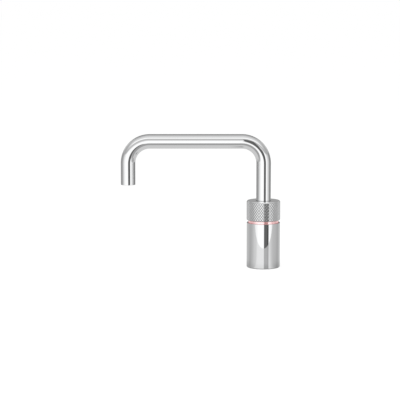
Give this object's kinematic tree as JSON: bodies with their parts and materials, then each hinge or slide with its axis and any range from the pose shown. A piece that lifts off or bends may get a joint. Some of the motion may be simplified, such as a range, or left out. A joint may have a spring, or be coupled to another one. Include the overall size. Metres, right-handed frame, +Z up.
{
  "type": "boiling water tap",
  "caption": "Kitchen tap with a round chrome column, a knurled push-and-turn ring knob over a lit ring, and a square-necked swivel spout.",
  "frame": {"origin": "centre of the column's round base, on the plane of the worktop", "axes": "+Z up along the column, -X towards the spout's outlet, -Y towards the front in the picture's view"},
  "size_m": [0.2203, 0.0464, 0.185],
  "materials": {
    "polished_chrome": "polished chrome plate",
    "brass": "machined",
    "plain_steel": "satin",
    "ceramic": "ground",
    "bearing_plastic": "moulded",
    "black_moulding": "moulded",
    "black_rubber": "moulded",
    "silicone": "smooth",
    "circuit_board": "coated",
    "lit_ring": "frosted, lit red from inside"
  },
  "bodies": {
    "column": {"body_sleeve": "polished_chrome", "base_plate": "brass", "base_gasket": "black_rubber", "base_screw_1": "plain_steel", "base_screw_2": "plain_steel", "base_screw_3": "plain_steel", "inlet_seal": "black_rubber", "valve_body": "brass", "disc_seal": "silicone", "fixed_disc": "ceramic", "valve_cap": "brass", "cap_seal": "black_rubber", "stem": "brass", "stem_seal": "black_rubber", "lower_bush": "bearing_plastic", "upper_bush": "bearing_plastic", "snap_ring": "plain_steel", "light_carrier": "bearing_plastic", "led_board": "circuit_board", "light_ring": "lit_ring", "light_lead": "black_moulding", "lead_socket": "black_moulding"},
    "drive": {"moving_disc": "ceramic", "drive_sleeve": "brass", "spring_seat": "plain_steel", "circlip": "plain_steel", "return_spring": "plain_steel"},
    "knob": {"knob": "polished_chrome", "knob_liner": "black_moulding", "knob_magnet": "plain_steel"},
    "spout": {"spout_tube": "polished_chrome", "spout_spigot": "brass", "spigot_seal_1": "black_rubber", "spigot_seal_2": "black_rubber", "inner_hose": "silicone", "hose_spacer_1": "black_moulding", "hose_spacer_2": "black_moulding", "hose_spacer_3": "black_moulding", "outlet_housing": "black_moulding", "outlet_seal": "black_rubber", "flow_plate": "plain_steel"}
  },
  "joints": [
    {"name": "knob_turn", "type": "hinge", "parent": "column", "child": "drive", "pos_m": [0, 0, 0.066], "axis": [0, 0, 1], "range_deg": [0, 90]},
    {"name": "knob_push", "type": "slide", "parent": "drive", "child": "knob", "axis": [0, 0, -1], "range_m": [0, 0.0025], "stiffness_N_per_m": 900, "springref_m": -0.004, "deforming": ["return_spring"]},
    {"name": "spout_swivel", "type": "hinge", "parent": "column", "child": "spout", "pos_m": [0, 0, 0.1], "axis": [0, 0, 1], "continuous": true}
  ]
}
